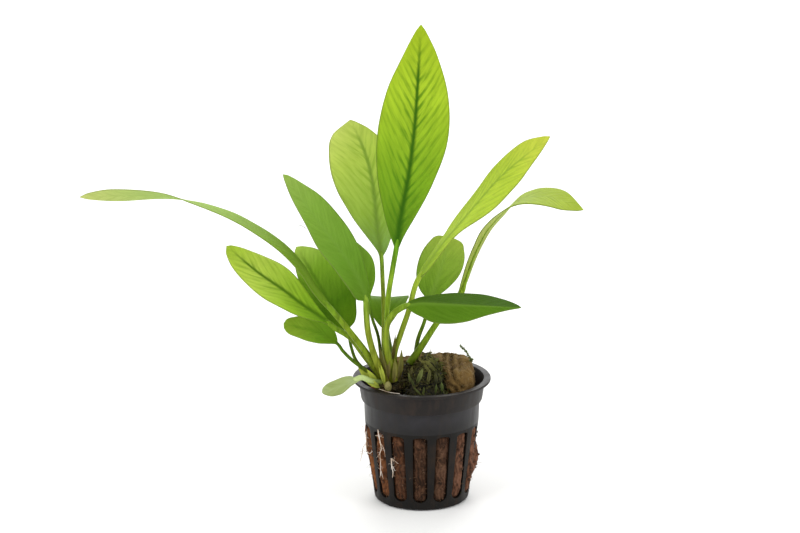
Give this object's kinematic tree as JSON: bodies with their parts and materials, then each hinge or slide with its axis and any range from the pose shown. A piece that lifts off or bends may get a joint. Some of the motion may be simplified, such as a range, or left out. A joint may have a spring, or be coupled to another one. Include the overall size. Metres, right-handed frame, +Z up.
{
  "type": "potted water plant",
  "caption": "Leafy water plant with long-stalked oval leaves, growing on rock wool in a small slotted net pot.",
  "frame": {"origin": "centre of the pot's underside, which it rests on", "axes": "+Z up, the front of the picture faces -Y, the longest leaf reaches to -X"},
  "size_m": [0.1975, 0.0582, 0.1945],
  "materials": {
    "net_pot": "dark grey, softly glossy moulded plastic",
    "wool_plug": "matte brown-stained mineral fibre",
    "wool_block": "matte tan mineral fibre",
    "rhizome": "satin, tan-green",
    "moss_clump": "matte dark green",
    "moss_sprig": "matte olive",
    "root_main": "satin, off-white",
    "root_side": "satin, off-white",
    "root_hanging": "satin, off-white",
    "root_front": "satin, off-white",
    "leaf_tall": "satin, bright yellow-green",
    "leaf_tall_rear": "satin, light yellow-green",
    "leaf_left_broad": "satin, mid green",
    "leaf_far_left": "satin, light green",
    "leaf_left_low": "satin, bright green",
    "leaf_left_inner": "satin, mid green",
    "leaf_left_under": "satin, mid green",
    "leaf_small_drooping": "satin, pale green",
    "leaf_behind": "satin, mid green",
    "leaf_centre_rear": "satin, olive green",
    "leaf_right_low": "satin, dark green",
    "leaf_round": "satin, olive green",
    "leaf_right_high": "satin, bright yellow-green",
    "leaf_far_right": "satin, light green"
  },
  "bodies": {
    "root": {"net_pot": "net_pot", "wool_plug": "wool_plug", "wool_block": "wool_block", "rhizome": "rhizome", "moss_clump": "moss_clump", "moss_sprig": "moss_sprig", "root_main": "root_main", "root_side": "root_side", "root_hanging": "root_hanging", "root_front": "root_front", "leaf_tall": "leaf_tall", "leaf_tall_rear": "leaf_tall_rear", "leaf_left_broad": "leaf_left_broad", "leaf_far_left": "leaf_far_left", "leaf_left_low": "leaf_left_low", "leaf_left_inner": "leaf_left_inner", "leaf_left_under": "leaf_left_under", "leaf_small_drooping": "leaf_small_drooping", "leaf_behind": "leaf_behind", "leaf_centre_rear": "leaf_centre_rear", "leaf_right_low": "leaf_right_low", "leaf_round": "leaf_round", "leaf_right_high": "leaf_right_high", "leaf_far_right": "leaf_far_right"}
  },
  "joints": []
}
